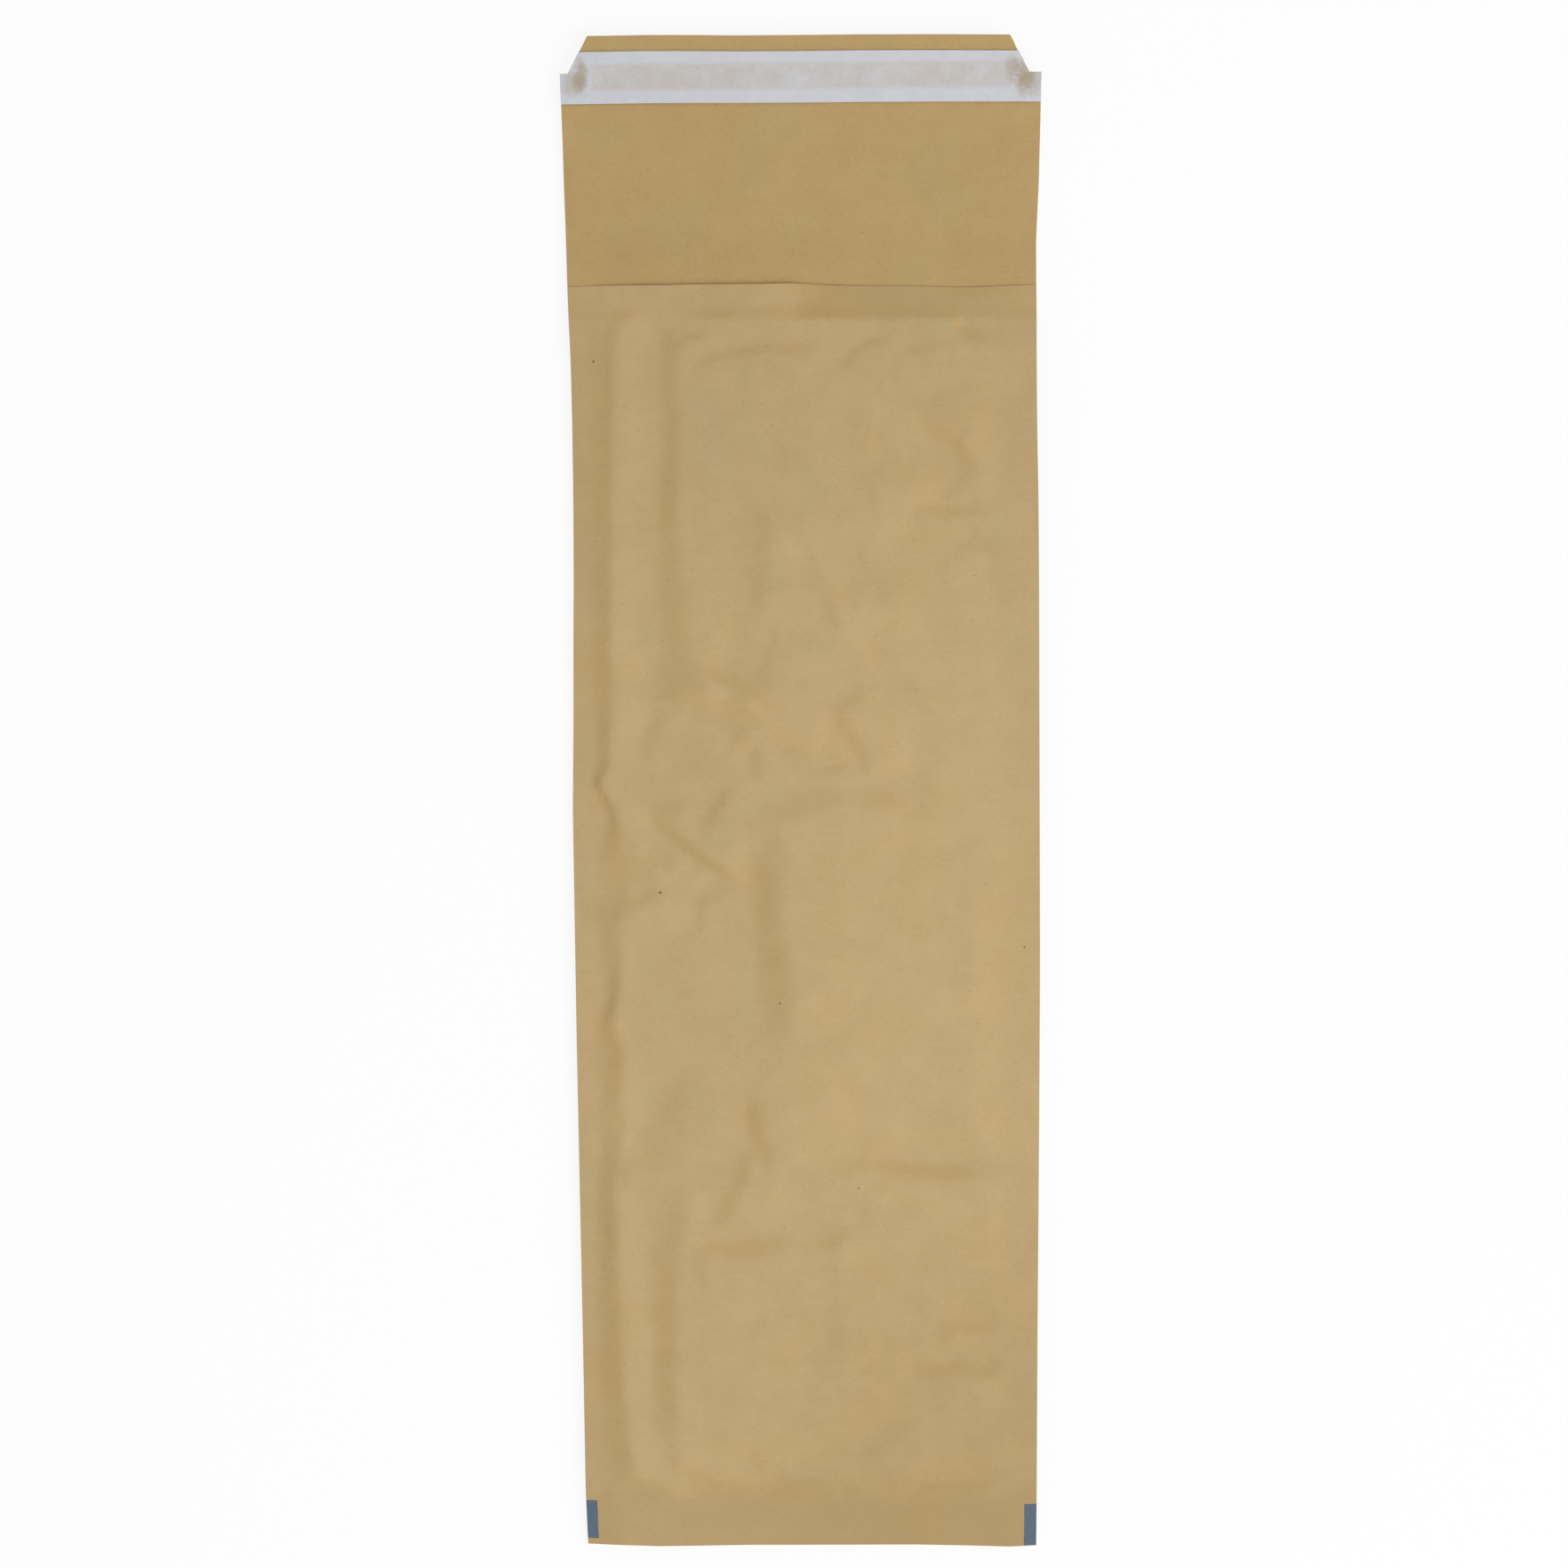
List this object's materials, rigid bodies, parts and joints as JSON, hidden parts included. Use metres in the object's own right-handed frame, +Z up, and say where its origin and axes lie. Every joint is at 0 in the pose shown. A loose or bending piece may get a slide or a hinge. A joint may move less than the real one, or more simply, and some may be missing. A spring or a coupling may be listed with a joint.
{
  "type": "padded envelope",
  "caption": "Long narrow kraft padded envelope with a bubble film lining, lying empty and face up, its flap open and the release liner still on the adhesive.",
  "frame": {"origin": "middle of the bag's outline on the table that it lies on, under the flat back panel", "axes": "+X across the bag to the right as it is read, +Y along the bag from the bottom fold to the flap's end, +Z up from the table to the front panel"},
  "size_m": [0.12, 0.3934, 0.0104],
  "materials": {
    "kraft": "matte",
    "film": "gloss",
    "adhesive": "satin",
    "liner": "satin"
  },
  "bodies": {
    "root": {"kraft_wrap": "kraft", "bubble_lining": "film", "adhesive_strip": "adhesive", "release_liner": "liner"}
  },
  "joints": []
}
